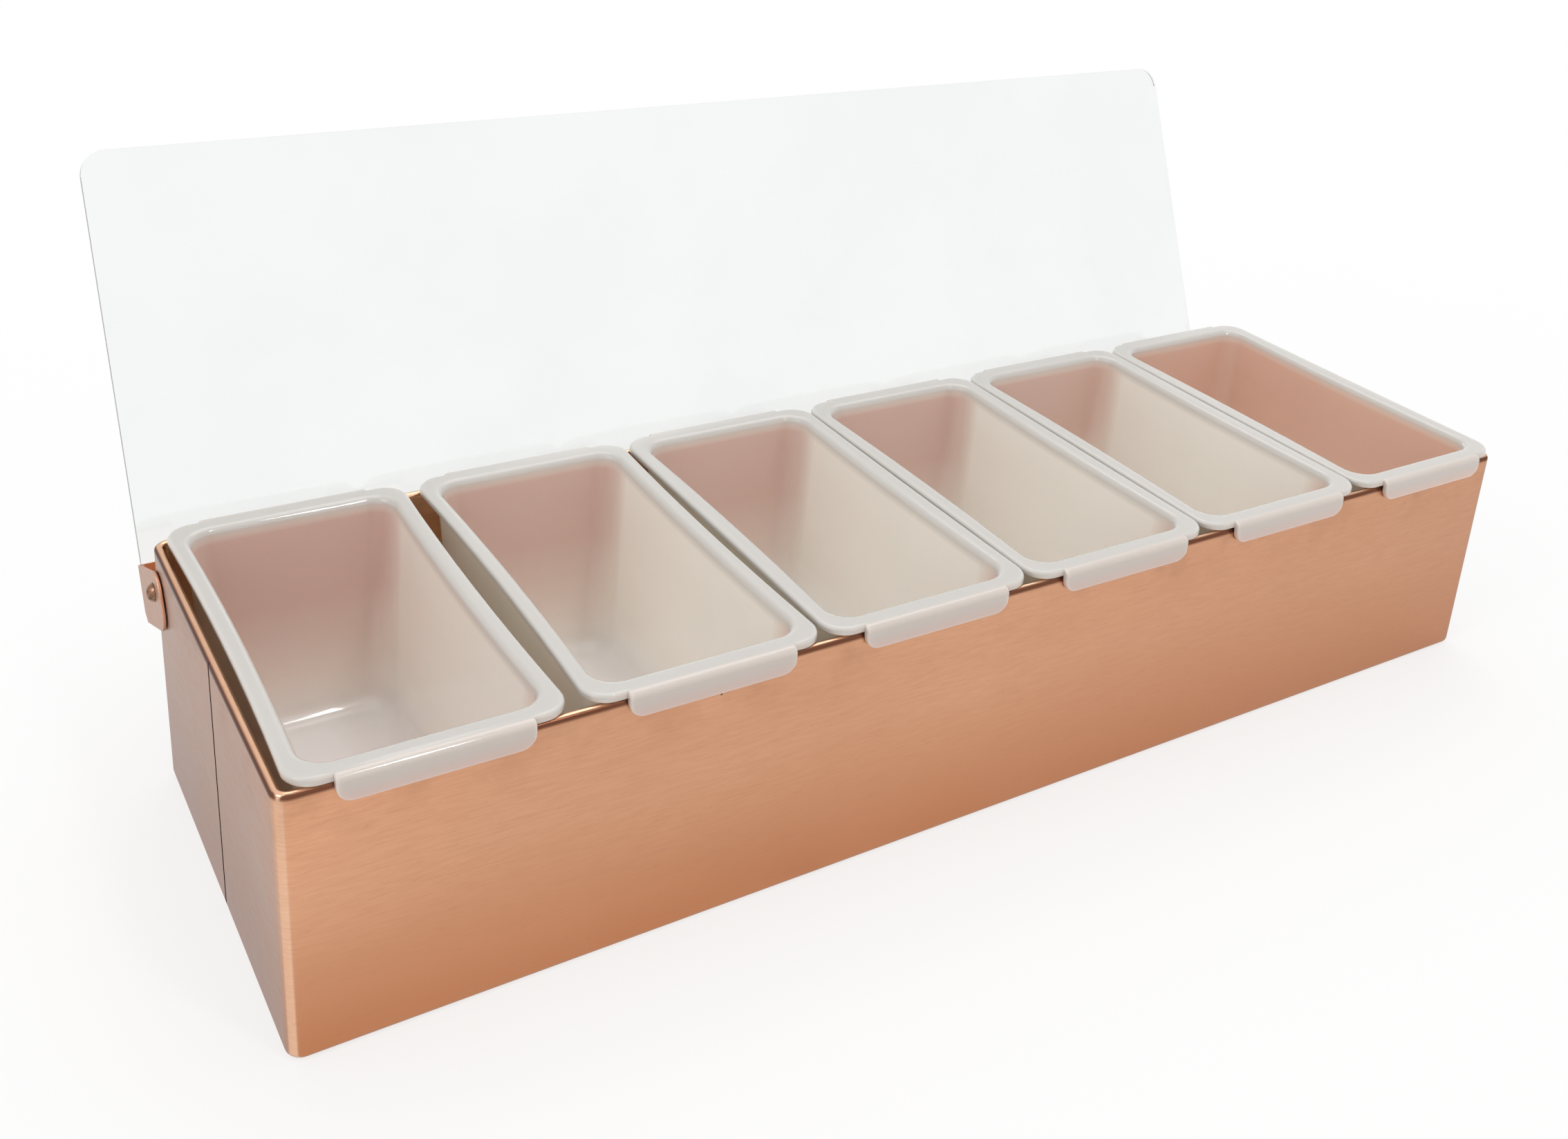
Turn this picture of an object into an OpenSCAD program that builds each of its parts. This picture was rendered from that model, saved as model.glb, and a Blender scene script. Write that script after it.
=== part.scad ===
// Counter-top condiment caddy: a copper-plated sheet box that carries a row of
// six lift-out pans under one clear lid, which flips back on a folded rail.
// Millimetres, +Z up, origin at the middle of the underside of the box.

/* [Box] */
// Depth of the box over its front and back walls
body_d = 151; // [140:1:165]
// Height of the box to the top of its rolled hem
body_h = 89.5; // [80:0.5:105]
// Thickness of the copper-plated sheet
sheet = 0.9; // [0.8:0.1:1.1]
// Outer radius of the upright corners
corner_r = 5; // [4:0.5:8]
// Outer radius of the rolled hem
hem_r = 1.5; // [1.3:0.1:1.9]
// Length of the hem folded down inside the wall
hem_fold = 7.5; // [5:0.5:8]
// Outer radius of the bottom edge
foot_r = 2.5; // [2:0.1:3.5]
// Width of the flange turned in under the box
foot_flange = 10; // [8:0.5:14]
// Place of the butt seam, forward of the middle of the left wall
seam_y = 4; // [-20:1:20]
// Width and depth of the groove along the seam
seam_w = 0.4; // [0.2:0.1:0.6]

/* [Pans] */
// Width of a pan over its rim
pan_w = 80.8; // [76:0.2:86]
// Thickness of the rim
rim_t = 2.8; // [2.4:0.1:3.2]
// Width of the rim along the sides of the opening
rim_side = 5.8; // [5:0.1:7]
// Radius of the rim's outer corners
rim_r = 9; // [6:0.5:11]
// Radius of the soft edge round the opening
mouth_r = 2.6; // [1:0.1:2.6]
// Thickness of the side walls
pan_wall = 2; // [1.6:0.1:2.4]
// Thickness of the floor
pan_floor = 2.2; // [1.8:0.1:3]
// Radius of the opening's corners
pan_r = 8.5; // [8.5:0.5:14]
// How far each wall leans in from mouth to floor
pan_taper = 4; // [2:0.5:4]
// Radius between wall and floor, inside
floor_r = 4.5; // [3:0.5:4.5]
// Clear height between the pans and the base
pan_under = 8; // [4:1:16]
// Width of the hanging lip
lip_w = 56.4; // [48:0.2:60]
// Thickness of the lip
lip_t = 2.2; // [1.8:0.1:2.6]
// Height of the lip below the top of the rim
lip_h = 8.9; // [7:0.1:9.5]
// Radius of the lip's lower corners
lip_r = 5; // [3:0.5:5.5]
// Play between the back lips and the back wall
lip_play = 1.5; // [0.5:0.1:1.5]
// Clearance between the pans and the hem behind them, just under the rim
pan_clear = 0.5; // [0.4:0.1:3]

/* [Row] */
// Space from the left wall's outer face to the first rim
end_gap = 3.5; // [3:0.1:6]
// Space between the first rim and the second
wide_gap = 4.2; // [0.4:0.1:6]
// Space between the second rim and the third
small_gap = 1.3; // [0.4:0.1:3]
// Space between the rims that sit close together
pan_gap = 0.4; // [0.3:0.1:1]

/* [Lid] */
// How far the open lid leans back from upright, in degrees
lid_lean = 23; // [20:0.5:26]
// Height of the lid panel along its own plane
lid_h = 160; // [158:1:164]
// Thickness of the lid panel
lid_t = 2.8; // [2:0.1:3]
// Radius of the lid's free corners
lid_r = 9; // [4:0.5:14]
// How far the lid panel stops short of the rail's ends
lid_inset = 1.4; // [1:0.1:4]

/* [Hinge] */
// Distance of the hinge axis in front of the back wall's outer face
axis_in = 5.5; // [5.5:0.1:6]
// Distance of the hinge axis below the top of the hem
axis_down = 16; // [15:0.5:16]
// Radius from the axis to the outer face of the rail
rail_reach = 28; // [27:0.5:30]
// Thickness of the rail's sheet
rail_t = 1; // [0.8:0.1:1.2]
// Height of the rail above the axis
rail_up = 7; // [6:0.5:8]
// Depth of the rail below the axis
rail_down = 12.5; // [12.3:0.1:13]
// Outer radius of the rail's bends
rail_bend = 2; // [1.5:0.1:2.5]
// Distance of the ear's rounded end from the axis
ear_front = 11.3; // [9:0.1:12]
// Radius of the ear's front corners
ear_r = 7; // [5:0.5:8]
// Cut across the ear's lower rear corner
ear_cut = 5; // [3:0.5:7]
// Radius of the pivot rivet's shank
pivot_r = 2; // [1.5:0.1:2.2]
// Radius of the pivot rivet's heads
pivot_head_r = 3.3; // [3:0.1:4]
// Height of the pivot rivet's domed head
pivot_head_h = 2.3; // [1.8:0.1:2.6]
// Radius of the pivot rivet's tail, inside the wall
pivot_tail_r = 2.8; // [2.4:0.1:3]
// Thickness of the tail
pivot_tail_h = 0.9; // [0.7:0.1:1.1]
// Thickness of the washer between wall and ear
washer_t = 0.35; // [0.3:0.05:0.6]
// Radius of the washer
washer_r = 4.5; // [4:0.1:5]
// Spacing of the rivets along the lid
lid_rivet_gap = 126; // [100:1:150]
// Radius of the lid rivets' shanks
lid_rivet_r = 1.6; // [1.2:0.1:2]
// Radius of the lid rivets' heads
lid_rivet_head_r = 3.4; // [3:0.1:4]
// Height of the lid rivets' heads
lid_rivet_head_h = 1.3; // [1:0.1:1.6]

/* [Fits] */
// Clearance between parts that rest on each other
rest_gap = 0.3; // [0.25:0.05:0.4]
// Radial clearance of a pin in its hole
pin_gap = 0.05; // [0.02:0.01:0.08]
// End play of the ear on its rivet, on each side
ear_play = 0.1; // [0.05:0.01:0.15]

/* [Hidden] */
$fn = 64;

eps = 0.01;
copper = [0.80, 0.53, 0.40];
milky = [0.88, 0.86, 0.84];
clear_plastic = [0.9, 0.93, 0.95, 0.35];
rivet_metal = [0.55, 0.45, 0.40];

// The row: the space to the left of each rim, then the rims' middles
pan_count = 6;
gaps = [end_gap, wide_gap, small_gap, pan_gap, pan_gap, pan_gap];
function sum_to(list, n) = n < 0 ? 0 : list[n] + sum_to(list, n - 1);
body_l = sum_to(gaps, pan_count - 1) + pan_count * pan_w;
function pan_x(i) = -body_l / 2 + sum_to(gaps, i) + i * pan_w + pan_w / 2;

// The pans hang over both walls by their lips
rim_z = body_h + rest_gap;
rim_top = rim_z + rim_t;
edge_front = -body_d / 2 - rest_gap;
edge_back = body_d / 2 + lip_play;
rim_len = edge_back - edge_front;
pan_y = (edge_front + edge_back) / 2;
mouth_x = pan_w - 2 * rim_side;
mouth_y = body_d - 4 * hem_r - 2 * (pan_clear + pan_wall + pan_y);
base_top = 2 * sheet;
floor_z = base_top + pan_under + pan_floor;
wall_lean = atan(pan_taper / (rim_top - floor_z));
// The mouth's arc meets the wall at a slight angle: the cosine of that angle
mouth_meet = 0.98;

// The hinge: local Y runs out to the rail and local Z runs up the open lid
axis_y = body_d / 2 - axis_in;
axis_z = body_h - axis_down;
washer_x = body_l / 2 + washer_t;
ear_in = washer_x + ear_play;
ear_out = ear_in + rail_t;
head_x = ear_out + ear_play;
lid_x = ear_out - lid_inset;
lid_low = 3;
// The rail's lower flange meets the back wall when the lid is open
flange_front = (axis_in + rest_gap + rail_down * sin(lid_lean)) / cos(lid_lean);

// The quarter turn that faces a corner outward
function corner_turn(sx, sy) = sx > 0 ? (sy > 0 ? 0 : 270) : (sy > 0 ? 90 : 180);

module rounded_plate(w, d, r, h) {
    cube_x = w - 2 * r;
    cube_y = d - 2 * r;
    translate([-w / 2, -cube_y / 2, 0]) cube([w, cube_y, h]);
    translate([-cube_x / 2, -d / 2, 0]) cube([cube_x, d, h]);
    for (sx = [-1, 1], sy = [-1, 1])
        translate([sx * cube_x / 2, sy * cube_y / 2, 0]) cylinder(r = r, h = h);
}

// Section of the wall: 0 is its outer face, and it runs inward and upward
module wall_section() {
    translate([0, foot_r]) square([sheet, body_h - hem_r - foot_r]);
    intersection() {
        translate([foot_r, foot_r]) difference() {
            circle(r = foot_r);
            circle(r = foot_r - sheet);
        }
        square([foot_r, foot_r]);
    }
    intersection() {
        translate([hem_r, body_h - hem_r]) difference() {
            circle(r = hem_r);
            circle(r = hem_r - sheet);
        }
        translate([0, body_h - hem_r]) square([2 * hem_r, hem_r]);
    }
    translate([2 * hem_r - sheet, body_h - hem_r - hem_fold]) square([sheet, hem_fold]);
}

// Carries the wall's section round the box: four straights and four corners
module wall_round() {
    straight_x = body_l - 2 * corner_r;
    straight_y = body_d - 2 * corner_r;
    for (side = [0, 1]) rotate([0, 0, 180 * side]) {
        translate([-straight_x / 2, -body_d / 2, 0])
            rotate([90, 0, 90]) linear_extrude(straight_x) wall_section();
        translate([-body_l / 2, straight_y / 2, 0])
            rotate([90, 0, 0]) linear_extrude(straight_y) wall_section();
    }
    for (sx = [-1, 1], sy = [-1, 1])
        translate([sx * straight_x / 2, sy * straight_y / 2, 0])
            rotate([0, 0, corner_turn(sx, sy)])
                rotate_extrude(angle = 90) translate([corner_r, 0]) mirror([1, 0]) wall_section();
}

module body_wrap() {
    color(copper) difference() {
        union() {
            wall_round();
            difference() {
                rounded_plate(body_l - 2 * foot_r, body_d - 2 * foot_r, corner_r - foot_r, sheet);
                translate([0, 0, -eps]) rounded_plate(body_l - 2 * foot_flange, body_d - 2 * foot_flange,
                                                      corner_r, sheet + 2 * eps);
            }
        }
        translate([-body_l / 2 - eps, -seam_y - seam_w / 2, foot_r])
            cube([seam_w + eps, seam_w, body_h - hem_r - foot_r]);
        for (side = [-1, 1]) translate([side * (body_l / 2 - sheet / 2), axis_y, axis_z])
            rotate([0, 90, 0]) cylinder(r = pivot_r + pin_gap, h = 2 * sheet, center = true);
    }
}

// The base sits on the turned-in flange, with its field pressed down flush
module base_plate() {
    border_l = body_l - 2 * foot_r - 2 * rest_gap;
    border_d = body_d - 2 * foot_r - 2 * rest_gap;
    field_l = body_l - 2 * foot_flange - 2 * rest_gap;
    field_d = body_d - 2 * foot_flange - 2 * rest_gap;
    color(copper) difference() {
        union() {
            translate([0, 0, sheet]) rounded_plate(border_l, border_d, corner_r, sheet);
            rounded_plate(field_l, field_d, corner_r, base_top);
        }
        translate([0, 0, sheet])
            rounded_plate(field_l - 2 * sheet, field_d - 2 * sheet, corner_r, base_top);
    }
}

// Section of a leaning wall outside a corner's axis, down to a rounded floor
module wall_outline(half, bottom, fillet) {
    centre = [half - (rim_top - bottom - fillet) * tan(wall_lean) - fillet / cos(wall_lean), bottom + fillet];
    intersection() {
        union() {
            translate(centre) rotate(-wall_lean) {
                circle(r = fillet);
                square([fillet, 2 * rim_top]);
            }
            polygon([[0, bottom], [centre[0], bottom], centre, centre + [fillet / 2, 0],
                     [half - fillet / 2, rim_top], [0, rim_top]]);
        }
        translate([0, bottom]) square([half, rim_top - bottom]);
    }
}

// The soft edge of the mouth: an arc that is tangent to the top of the rim
module mouth_edge(half) {
    centre = [half + mouth_r * (mouth_meet - sin(wall_lean)) / cos(wall_lean), rim_top - mouth_r];
    difference() {
        polygon([[half - mouth_r, centre[1]], centre, [centre[0], rim_top], [half - mouth_r, rim_top]]);
        translate(centre) circle(r = mouth_r);
    }
}

// The hollow's section has the mouth's soft edge, and the outer one is plain
module tub_section(grow, bottom, fillet) {
    wall_outline(pan_r + grow, bottom, fillet);
    if (grow == 0) mouth_edge(pan_r);
}

// A tapered tub: two crossing prisms and four turned corners
module tub(grow, bottom, fillet) {
    corner = [mouth_x / 2 - pan_r, mouth_y / 2 - pan_r];
    for (axis = [0, 1]) rotate([90, 0, 90 * axis])
        linear_extrude(2 * corner[1 - axis], center = true) for (side = [0, 1]) mirror([side, 0]) {
            translate([corner[axis], 0]) tub_section(grow, bottom, fillet);
            translate([0, bottom]) square([corner[axis], rim_top - bottom]);
        }
    for (mx = [0, 1], my = [0, 1]) mirror([mx, 0, 0]) mirror([0, my, 0])
        translate([corner[0], corner[1], 0]) rotate_extrude(angle = 90) tub_section(grow, bottom, fillet);
}

// The lip that hangs over the wall in front, with a rolled top edge
module lip() {
    root = 4;
    low = rim_top - lip_h;
    intersection() {
        translate([-lip_w / 2, 0, 0]) rotate([90, 0, 90]) linear_extrude(lip_w) {
            translate([-lip_t, low]) square([lip_t, lip_h - lip_t]);
            intersection() {
                translate([0, rim_top - lip_t]) circle(r = lip_t);
                translate([-lip_t, rim_top - lip_t]) square(lip_t);
            }
            translate([0, rim_z]) square([root, rim_t]);
        }
        rotate([90, 0, 0]) linear_extrude(2 * root, center = true) {
            translate([-lip_w / 2, low + lip_r]) square([lip_w, lip_h - lip_r]);
            translate([-lip_w / 2 + lip_r, low]) square([lip_w - 2 * lip_r, lip_r]);
            for (side = [-1, 1]) translate([side * (lip_w / 2 - lip_r), low + lip_r]) circle(r = lip_r);
        }
    }
}

module pan(i) {
    color(milky) translate([pan_x(i), pan_y, 0]) difference() {
        union() {
            translate([0, 0, rim_z]) rounded_plate(pan_w, rim_len, rim_r, rim_t);
            tub(pan_wall, floor_z - pan_floor, floor_r + pan_wall);
            for (turn = [0, 180]) rotate([0, 0, turn]) translate([0, -rim_len / 2, 0]) lip();
        }
        tub(0, floor_z, floor_r);
    }
}

// Places what belongs to the lid in its open pose
module on_lid() {
    translate([0, axis_y, axis_z]) rotate([-lid_lean, 0, 0]) children();
}

module ear_outline() {
    rear = rail_reach;
    difference() {
        union() {
            translate([-ear_front + ear_r, -rail_down]) square([rear + ear_front - ear_r, rail_down + rail_up]);
            translate([-ear_front, -rail_down + ear_r]) square([ear_r, rail_down + rail_up - 2 * ear_r]);
            for (z = [-rail_down + ear_r, rail_up - ear_r])
                translate([-ear_front + ear_r, z]) circle(r = ear_r);
        }
        polygon([[rear - ear_cut, -rail_down - eps], [rear + eps, -rail_down - eps],
                 [rear + eps, -rail_down + ear_cut]]);
    }
}

// Plan of the rail's end: the web turns forward into the ear
module rail_end_plan() {
    inner = rail_bend - rail_t;
    translate([ear_in, -ear_front]) square([rail_t, ear_front + rail_reach - rail_bend]);
    translate([ear_out - rail_bend - ear_cut, rail_reach - rail_t]) square([ear_cut, rail_t]);
    intersection() {
        translate([ear_out - rail_bend, rail_reach - rail_bend]) difference() {
            circle(r = rail_bend);
            circle(r = inner);
        }
        translate([ear_out - rail_bend, rail_reach - rail_bend]) square(rail_bend);
    }
}

// Section of the web and its lower flange
module rail_section() {
    translate([rail_reach - rail_t, -rail_down + rail_bend]) square([rail_t, rail_up + rail_down - rail_bend]);
    translate([flange_front, -rail_down]) square([rail_reach - rail_bend - flange_front, rail_t]);
    intersection() {
        translate([rail_reach - rail_bend, -rail_down + rail_bend]) difference() {
            circle(r = rail_bend);
            circle(r = rail_bend - rail_t);
        }
        translate([rail_reach - rail_bend, -rail_down]) square(rail_bend);
    }
}

module hinge_rail() {
    web_half = ear_out - rail_bend - ear_cut;
    color(copper) on_lid() difference() {
        union() {
            translate([-web_half, 0, 0]) rotate([90, 0, 90]) linear_extrude(2 * web_half) rail_section();
            for (side = [0, 1]) mirror([side, 0, 0]) intersection() {
                translate([0, 0, -rail_down]) linear_extrude(rail_down + rail_up) rail_end_plan();
                translate([web_half - 1, 0, 0]) rotate([90, 0, 90]) linear_extrude(ear_out) ear_outline();
            }
        }
        for (side = [-1, 1]) translate([side * (ear_in + ear_out) / 2, 0, 0])
            rotate([0, 90, 0]) cylinder(r = pivot_r + pin_gap, h = 2 * rail_t, center = true);
        lid_rivet_places() rotate([-90, 0, 0]) cylinder(r = lid_rivet_r + pin_gap, h = 2 * rail_t, center = true);
    }
}

// The lid's rivets stand in a row along the outer face of the rail
module lid_rivet_places() {
    for (i = [-1.5, -0.5, 0.5, 1.5]) translate([i * lid_rivet_gap, rail_reach, -lid_low]) children();
}

module lid_panel() {
    low = -rail_down + lid_low;
    color(clear_plastic) on_lid() difference() {
        translate([0, rail_reach, low]) {
            translate([-lid_x, 0, 0]) cube([2 * lid_x, lid_t, lid_h - lid_r]);
            translate([-lid_x + lid_r, 0, 0]) cube([2 * (lid_x - lid_r), lid_t, lid_h]);
            for (side = [-1, 1]) translate([side * (lid_x - lid_r), 0, lid_h - lid_r])
                rotate([-90, 0, 0]) cylinder(r = lid_r, h = lid_t);
        }
        lid_rivet_places() rotate([-90, 0, 0]) cylinder(r = lid_rivet_r + pin_gap, h = 3 * lid_t, center = true);
    }
}

// A low domed head on the plane z = 0, cut from a ball
module dome(r, h) {
    ball = (r * r + h * h) / (2 * h);
    intersection() {
        translate([0, 0, h - ball]) sphere(r = ball);
        cylinder(r = 2 * r, h = 2 * h);
    }
}

module lid_rivets() {
    color(rivet_metal) on_lid() lid_rivet_places() rotate([-90, 0, 0]) {
        translate([0, 0, -rail_t]) cylinder(r = lid_rivet_r, h = rail_t + lid_t);
        translate([0, 0, lid_t]) dome(lid_rivet_head_r, lid_rivet_head_h);
        translate([0, 0, -rail_t]) mirror([0, 0, 1]) dome(lid_rivet_head_r, lid_rivet_head_h);
    }
}

// Each rivet is domed outside the ear, and its tail rests on the curve of the
// corner inside the wall
module pivot_rivets() {
    inner_r = corner_r - sheet;
    over_curve = max(0, pivot_tail_r + corner_r - axis_in);
    on_curve = sqrt(inner_r * inner_r - over_curve * over_curve);
    tail = body_l / 2 - sheet - inner_r + on_curve - pin_gap - pivot_tail_h;
    color(rivet_metal) for (side = [0, 1]) mirror([side, 0, 0])
        translate([0, axis_y, axis_z]) rotate([0, 90, 0]) {
            translate([0, 0, tail]) cylinder(r = pivot_tail_r, h = pivot_tail_h);
            translate([0, 0, head_x]) {
                mirror([0, 0, 1]) cylinder(r = pivot_r, h = head_x - tail);
                dome(pivot_head_r, pivot_head_h);
            }
        }
}

module pivot_washers() {
    color(copper) for (side = [0, 1]) mirror([side, 0, 0])
        translate([body_l / 2, axis_y, axis_z]) rotate([0, 90, 0]) difference() {
            cylinder(r = washer_r, h = washer_t);
            translate([0, 0, -eps]) cylinder(r = pivot_r + pin_gap, h = washer_t + 2 * eps);
        }
}

body_wrap();
base_plate();
pan(0);  // pan_1
pan(1);  // pan_2
pan(2);  // pan_3
pan(3);  // pan_4
pan(4);  // pan_5
pan(5);  // pan_6
hinge_rail();
lid_panel();
lid_rivets();
pivot_rivets();
pivot_washers();
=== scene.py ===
import math

import bmesh
import bpy
from mathutils import Euler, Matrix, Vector


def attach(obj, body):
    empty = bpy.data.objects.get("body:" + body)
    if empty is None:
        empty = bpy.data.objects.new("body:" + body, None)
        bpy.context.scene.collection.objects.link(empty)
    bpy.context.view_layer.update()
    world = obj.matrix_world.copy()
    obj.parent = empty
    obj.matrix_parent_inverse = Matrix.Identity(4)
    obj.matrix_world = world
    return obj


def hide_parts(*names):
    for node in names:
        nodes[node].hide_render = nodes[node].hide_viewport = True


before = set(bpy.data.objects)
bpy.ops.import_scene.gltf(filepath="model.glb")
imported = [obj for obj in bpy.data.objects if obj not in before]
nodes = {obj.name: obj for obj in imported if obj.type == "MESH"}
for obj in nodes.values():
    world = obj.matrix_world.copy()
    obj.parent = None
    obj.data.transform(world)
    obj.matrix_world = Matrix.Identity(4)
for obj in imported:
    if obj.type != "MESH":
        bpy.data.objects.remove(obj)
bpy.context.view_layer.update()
scene = bpy.context.scene
print("frame loaded:", len(nodes), "nodes")

cameraView = {
    "place": (-0.32870, -0.44304, 0.36882),
    "turn": (69.151, -4.0105, -32.344),  # degrees
    "lens": 37.915,
    "sensor": 36,
    "shift": (-0.03734, -0.16394),
    "nearest": 0.01,
}
cameraData = bpy.data.cameras.new("camera")
cameraData.lens = cameraView["lens"]
cameraData.sensor_width = cameraView["sensor"]
cameraData.shift_x, cameraData.shift_y = cameraView["shift"]
cameraData.clip_start = cameraView["nearest"]
camera = bpy.data.objects.new("camera", cameraData)
camera.location = cameraView["place"]
camera.rotation_euler = Euler([math.radians(a) for a in cameraView["turn"]])
scene.collection.objects.link(camera)
scene.camera = camera
print("camera set")


# wiring helpers, shared by the geometry trees and the materials
def wire(tree, value, socket):
    if isinstance(value, bpy.types.NodeSocket):
        tree.links.new(value, socket)
    else:
        socket.default_value = value


def addNode(tree, kind, inputs=None, **settings):
    made = tree.nodes.new(kind)
    for name, value in settings.items():
        setattr(made, name, value)
    for key, value in (inputs or {}).items():
        wire(tree, value, made.inputs[key])
    return made


def calc(tree, operation, *values):
    made = addNode(tree, "ShaderNodeMath", operation=operation)
    for socket, value in zip(made.inputs, values):
        wire(tree, value, socket)
    return made.outputs[0]


def product(tree, first, *others):
    for other in others:
        first = calc(tree, "MULTIPLY", first, other)
    return first


def vectorCalc(tree, operation, *values):
    made = addNode(tree, "ShaderNodeVectorMath", operation=operation)
    for socket, value in zip(made.inputs, values):
        wire(tree, value, socket)
    return made.outputs[0]


def combine(tree, x=0.0, y=0.0, z=0.0):
    return addNode(tree, "ShaderNodeCombineXYZ", {"X": x, "Y": y, "Z": z}).outputs[0]


def split(tree, vector):
    return addNode(tree, "ShaderNodeSeparateXYZ", {0: vector}).outputs


def remap(tree, value, low, high, toLow=0.0, toHigh=1.0):
    made = addNode(tree, "ShaderNodeMapRange", {
        "Value": value, "From Min": low, "From Max": high, "To Min": toLow, "To Max": toHigh})
    return made.outputs["Result"]


def blendColour(tree, share, first, second):
    made = addNode(tree, "ShaderNodeMix", data_type="RGBA")
    for socket, value in zip((made.inputs[0], made.inputs[6], made.inputs[7]), (share, first, second)):
        wire(tree, value, socket)
    return made.outputs[2]


def newTree(name, kind, inputs, outputs):
    tree = bpy.data.node_groups.new(name, kind)
    for label, socketType, default in inputs:
        socket = tree.interface.new_socket(label, in_out="INPUT", socket_type="NodeSocket" + socketType)
        if default is not None:
            socket.default_value = default
    for label, socketType in outputs:
        tree.interface.new_socket(label, in_out="OUTPUT", socket_type="NodeSocket" + socketType)
    return tree, tree.nodes.new("NodeGroupInput").outputs, tree.nodes.new("NodeGroupOutput").inputs


def floatInputs(sizes):
    return [(label, "Float", value) for label, value in sizes.items()]


def linear(r, g, b):
    return tuple(((c + 0.055) / 1.055) ** 2.4 if c > 0.04045 else c / 12.92 for c in (r, g, b)) + (1.0,)


# effects that several finishes share
def objectPlace(tree):
    return addNode(tree, "ShaderNodeTexCoord").outputs["Object"]


def noise(tree, where, detail, roughness, scale=1.0):
    return addNode(tree, "ShaderNodeTexNoise", {
        "Vector": where, "Scale": scale, "Detail": detail, "Roughness": roughness}).outputs[0]


grainLook = {
    "fine": (3.0, 0.6),  # a noise's detail and roughness
    "broad": (4.0, 0.7),
    "broadStretch": (1.6, 1.6, 0.42),
    "streaks": (0.35, 0.68),
    "scratches": (0.60, 0.78),
}


def makeBrushedGrain():
    inputs = [("Stretch", "Vector", (110, 110, 1700)), ("Depth", "Float", 0.00002)]
    outputs = [("Streaks", "Float"), ("Scratches", "Float"), ("Normal", "Vector")]
    tree, given, result = newTree("brushedGrain", "ShaderNodeTree", inputs, outputs)
    stretched = vectorCalc(tree, "MULTIPLY", objectPlace(tree), given["Stretch"])
    fine = noise(tree, stretched, *grainLook["fine"])
    stretched = vectorCalc(tree, "MULTIPLY", stretched, grainLook["broadStretch"])
    broad = noise(tree, stretched, *grainLook["broad"])
    wire(tree, remap(tree, fine, *grainLook["streaks"]), result["Streaks"])
    wire(tree, remap(tree, broad, *grainLook["scratches"]), result["Scratches"])
    bump = addNode(tree, "ShaderNodeBump", {"Height": fine, "Distance": given["Depth"], "Strength": 1.0})
    wire(tree, bump.outputs[0], result["Normal"])
    return tree


def makeClouds():
    inputs = floatInputs({"Size": 0.05, "Low": 0.4, "High": 0.6})
    tree, given, result = newTree("clouds", "ShaderNodeTree", inputs, [("Mask", "Float")])
    scale = calc(tree, "DIVIDE", 1.0, given["Size"])
    cloud = noise(tree, objectPlace(tree), detail=3.0, roughness=0.55, scale=scale)
    wire(tree, remap(tree, cloud, given["Low"], given["High"]), result["Mask"])
    return tree


def makeSpecks():
    inputs = floatInputs({"Spacing": 0.02, "Radius": 0.0006, "Share": 0.3})
    tree, given, result = newTree("specks", "ShaderNodeTree", inputs, [("Mask", "Float")])
    cells = addNode(tree, "ShaderNodeTexVoronoi", {
        "Vector": objectPlace(tree), "Scale": calc(tree, "DIVIDE", 1.0, given["Spacing"])}, feature="F1")
    chance = addNode(tree, "ShaderNodeSeparateColor", {0: cells.outputs["Color"]}).outputs[0]
    chosen = calc(tree, "LESS_THAN", chance, given["Share"])
    reach = calc(tree, "DIVIDE", given["Radius"], given["Spacing"])
    spot = remap(tree, cells.outputs["Distance"], reach, calc(tree, "MULTIPLY", reach, 0.5))
    wire(tree, calc(tree, "MULTIPLY", spot, chosen), result["Mask"])
    return tree


brushedGrain = makeBrushedGrain()
clouds = makeClouds()
specks = makeSpecks()


def addEffect(tree, effect, **values):
    made = addNode(tree, "ShaderNodeGroup", node_tree=effect)
    for label, value in values.items():
        made.inputs[label].default_value = value
    return made.outputs


def newMaterial(name):
    material = bpy.data.materials.new(name)
    material.use_nodes = True
    tree = material.node_tree
    tree.nodes.clear()
    shader = addNode(tree, "ShaderNodeBsdfPrincipled")
    output = addNode(tree, "ShaderNodeOutputMaterial", {"Surface": shader.outputs[0]})
    return material, tree, shader, output


# lets a share of the lamps' and the surroundings' light through a clear or milky material
def letLightThrough(tree, shader, output, fromLamps, fromAround, colour):
    clear = addNode(tree, "ShaderNodeBsdfTransparent", {"Color": colour})
    path = addNode(tree, "ShaderNodeLightPath").outputs
    passing = calc(tree, "MULTIPLY", path["Is Shadow Ray"], fromLamps)
    passing = calc(tree, "MULTIPLY_ADD", path["Is Diffuse Ray"], fromAround, passing)
    mixed = addNode(tree, "ShaderNodeMixShader", {0: passing, 1: shader.outputs[0], 2: clear.outputs[0]})
    wire(tree, mixed.outputs[0], output.inputs["Surface"])


# the copper box's sizes, which its finish follows too
wrapSizes = {
    "Length": 0.495, "Depth": 0.151, "Height": 0.0895, "Sheet": 0.0009, "Corner": 0.005,
    "Hem Radius": 0.0015, "Hem Fold": 0.0075, "Foot Radius": 0.0025, "Flange": 0.010,
}
boxFace = (wrapSizes["Length"] / 2, wrapSizes["Depth"] / 2)  # the walls' outer faces, from the middle
seam = {"y": -0.004, "width": 0.0014, "depth": 0.0005, "past": 0.001}

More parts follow.
